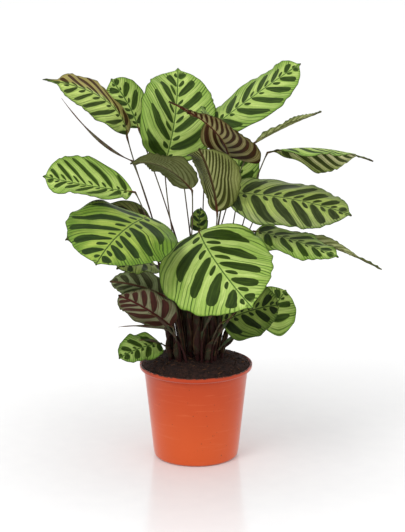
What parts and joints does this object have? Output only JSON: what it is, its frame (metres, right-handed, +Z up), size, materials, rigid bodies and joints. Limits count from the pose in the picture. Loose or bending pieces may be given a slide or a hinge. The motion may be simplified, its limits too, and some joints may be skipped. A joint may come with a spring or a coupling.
{
  "type": "potted peacock plant",
  "caption": "Bushy upright foliage plant with broad oval patterned leaves on slim stalks, standing in potting soil in a tapered round plastic nursery pot.",
  "frame": {"origin": "centre of the pot's underside, on the surface that the pot stands on", "axes": "+Z up, the way the plant grows; -Y towards the side that the picture shows; +X to the right as seen from there"},
  "size_m": [0.4134, 0.3206, 0.4896],
  "materials": {
    "terracotta_plastic": "moulded thin-wall plastic in terracotta orange, satin",
    "potting_soil": "dark moist peat and bark potting mix, crumbly and matt",
    "leaf_green": "thin living leaf, satin, yellow-green with darker markings",
    "stalk_brown_green": "living leaf stalk, brown-green to maroon, satin"
  },
  "bodies": {
    "root": {"pot": "terracotta_plastic", "soil": "potting_soil", "crown_blade": "leaf_green", "crown_stalk": "stalk_brown_green", "upper_right_blade": "leaf_green", "upper_right_stalk": "stalk_brown_green", "underside_mid_blade": "leaf_green", "underside_mid_stalk": "stalk_brown_green", "rolled_right_blade": "leaf_green", "rolled_right_stalk": "stalk_brown_green", "folded_right_blade": "leaf_green", "folded_right_stalk": "stalk_brown_green", "broad_right_blade": "leaf_green", "broad_right_stalk": "stalk_brown_green", "low_right_blade": "leaf_green", "low_right_stalk": "stalk_brown_green", "low_spear_blade": "leaf_green", "low_spear_stalk": "stalk_brown_green", "front_blade": "leaf_green", "front_stalk": "stalk_brown_green", "broad_left_blade": "leaf_green", "broad_left_stalk": "stalk_brown_green", "upper_left_low_blade": "leaf_green", "upper_left_low_stalk": "stalk_brown_green", "left_behind_blade": "leaf_green", "left_behind_stalk": "stalk_brown_green", "upper_left_blade": "leaf_green", "upper_left_stalk": "stalk_brown_green", "upper_left_rear_blade": "leaf_green", "upper_left_rear_stalk": "stalk_brown_green", "pale_underside_blade": "leaf_green", "pale_underside_stalk": "stalk_brown_green", "centre_folded_blade": "leaf_green", "centre_folded_stalk": "stalk_brown_green", "centre_rear_blade": "leaf_green", "centre_rear_stalk": "stalk_brown_green", "small_dark_blade": "leaf_green", "small_dark_stalk": "stalk_brown_green", "lower_left_high_blade": "leaf_green", "lower_left_high_stalk": "stalk_brown_green", "lower_left_mid_blade": "leaf_green", "lower_left_mid_stalk": "stalk_brown_green", "maroon_underside_blade": "leaf_green", "maroon_underside_stalk": "stalk_brown_green", "small_low_left_blade": "leaf_green", "small_low_left_stalk": "stalk_brown_green", "low_right_front_blade": "leaf_green", "low_right_front_stalk": "stalk_brown_green", "low_right_rear_blade": "leaf_green", "low_right_rear_stalk": "stalk_brown_green", "back_left_blade": "leaf_green", "back_left_stalk": "stalk_brown_green", "back_centre_blade": "leaf_green", "back_centre_stalk": "stalk_brown_green", "back_right_blade": "leaf_green", "back_right_stalk": "stalk_brown_green", "back_low_blade": "leaf_green", "back_low_stalk": "stalk_brown_green", "dark_spear": "stalk_brown_green", "thin_spear": "stalk_brown_green"}
  },
  "joints": []
}
